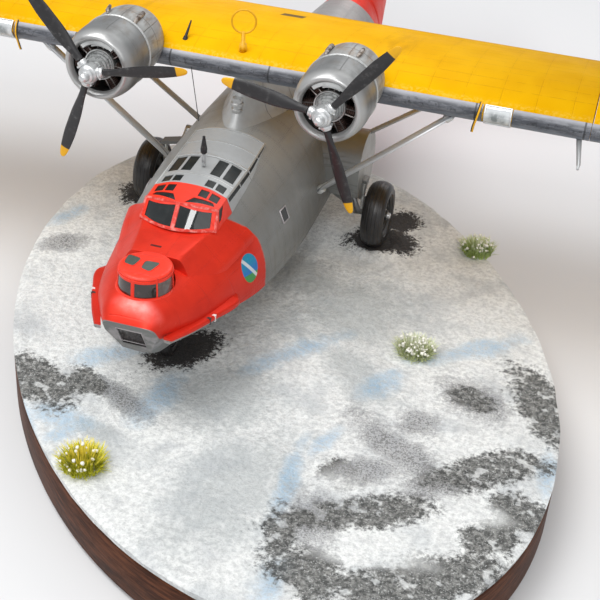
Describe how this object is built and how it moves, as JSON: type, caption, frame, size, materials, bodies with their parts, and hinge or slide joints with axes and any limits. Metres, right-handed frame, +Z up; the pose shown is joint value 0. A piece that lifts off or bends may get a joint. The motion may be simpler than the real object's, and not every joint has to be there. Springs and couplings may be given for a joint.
{
  "type": "scale model of a twin-engine flying boat on a snow plinth",
  "caption": "Scale model of an amphibious flying boat with turning propellers and wheels, parked on an oval snow-covered wooden plinth.",
  "frame": {"origin": "on the plinth's underside, below the aircraft's centreline and level with the plinth's centre", "axes": "+X to the aircraft's port side, +Y towards its tail, +Z up"},
  "size_m": [0.4402, 0.3168, 0.0986],
  "materials": {
    "silver_paint": "satin silver paint with faint panel lines and weathering",
    "red_paint": "satin signal-red paint with darker panel lines",
    "yellow_paint": "satin chrome-yellow paint, lightly worn, dark grey leading edge",
    "blade_grey": "satin dark grey with yellow tips",
    "bright_metal": "semi-gloss bright metal",
    "engine_dark": "dark brown-grey with dry-brushed metal edges",
    "tyre_rubber": "matt black rubber, dusty",
    "clear_glazing": "clear glossy glazing",
    "interior_green": "matt dark green",
    "dark_wood": "dark brown stained wood, satin",
    "snow": "granular white snow over dark speckled rock and soil",
    "grass": "fine yellow-green flock with white tips"
  },
  "bodies": {
    "airframe": {"plinth_block": "dark_wood", "ground_cover": "snow", "grass_tuft_1": "grass", "grass_tuft_2": "grass", "grass_tuft_3": "grass", "hull": "silver_paint", "bow_window": "clear_glazing", "turret_drum": "clear_glazing", "turret_roof": "red_paint", "canopy_front_frame": "red_paint", "canopy_rear_frame": "silver_paint", "cockpit_glazing": "clear_glazing", "cockpit_floor_and_seats": "interior_green", "pylon": "silver_paint", "wing_centre": "yellow_paint", "waist_blister_port": "clear_glazing", "wing_outer_port": "yellow_paint", "aileron_port": "yellow_paint", "wingtip_float_port": "silver_paint", "wing_strut_front_port": "silver_paint", "wing_strut_rear_port": "silver_paint", "nacelle_port": "silver_paint", "cowl_port": "silver_paint", "engine_port": "engine_dark", "main_gear_leg_port": "bright_metal", "tailplane_port": "red_paint", "elevator_port": "red_paint", "waist_blister_starboard": "clear_glazing", "wing_outer_starboard": "yellow_paint", "aileron_starboard": "yellow_paint", "wingtip_float_starboard": "silver_paint", "wing_strut_front_starboard": "silver_paint", "wing_strut_rear_starboard": "silver_paint", "nacelle_starboard": "silver_paint", "cowl_starboard": "silver_paint", "engine_starboard": "engine_dark", "main_gear_leg_starboard": "bright_metal", "tailplane_starboard": "red_paint", "elevator_starboard": "red_paint", "nose_gear_leg": "bright_metal", "tail_fin": "red_paint", "rudder": "red_paint", "loop_antenna": "yellow_paint", "roof_mast": "blade_grey", "pitot_mast": "silver_paint"},
    "propeller_port": {"propeller_hub_port": "bright_metal", "propeller_blade_port_1": "blade_grey", "propeller_blade_port_2": "blade_grey", "propeller_blade_port_3": "blade_grey"},
    "main_wheel_port": {"main_tyre_port": "tyre_rubber", "main_wheel_hub_port": "engine_dark"},
    "propeller_starboard": {"propeller_hub_starboard": "bright_metal", "propeller_blade_starboard_1": "blade_grey", "propeller_blade_starboard_2": "blade_grey", "propeller_blade_starboard_3": "blade_grey"},
    "main_wheel_starboard": {"main_tyre_starboard": "tyre_rubber", "main_wheel_hub_starboard": "engine_dark"},
    "nose_wheel": {"nose_tyre": "tyre_rubber", "nose_wheel_hub": "engine_dark"}
  },
  "joints": [
    {"name": "propeller_port_spin", "type": "hinge", "parent": "airframe", "child": "propeller_port", "pos_m": [0.0293, -0.0052, 0.0757], "axis": [0, 1, 0], "continuous": true},
    {"name": "main_wheel_port_roll", "type": "hinge", "parent": "airframe", "child": "main_wheel_port", "pos_m": [0.0348, 0.0476, 0.0239], "axis": [1, 0, 0], "continuous": true},
    {"name": "propeller_starboard_spin", "type": "hinge", "parent": "airframe", "child": "propeller_starboard", "pos_m": [-0.0293, -0.0052, 0.0757], "axis": [0, 1, 0], "continuous": true},
    {"name": "main_wheel_starboard_roll", "type": "hinge", "parent": "airframe", "child": "main_wheel_starboard", "pos_m": [-0.0348, 0.0476, 0.0239], "axis": [1, 0, 0], "continuous": true},
    {"name": "nose_wheel_roll", "type": "hinge", "parent": "airframe", "child": "nose_wheel", "pos_m": [0, -0.026, 0.0197], "axis": [1, 0, 0], "continuous": true}
  ]
}
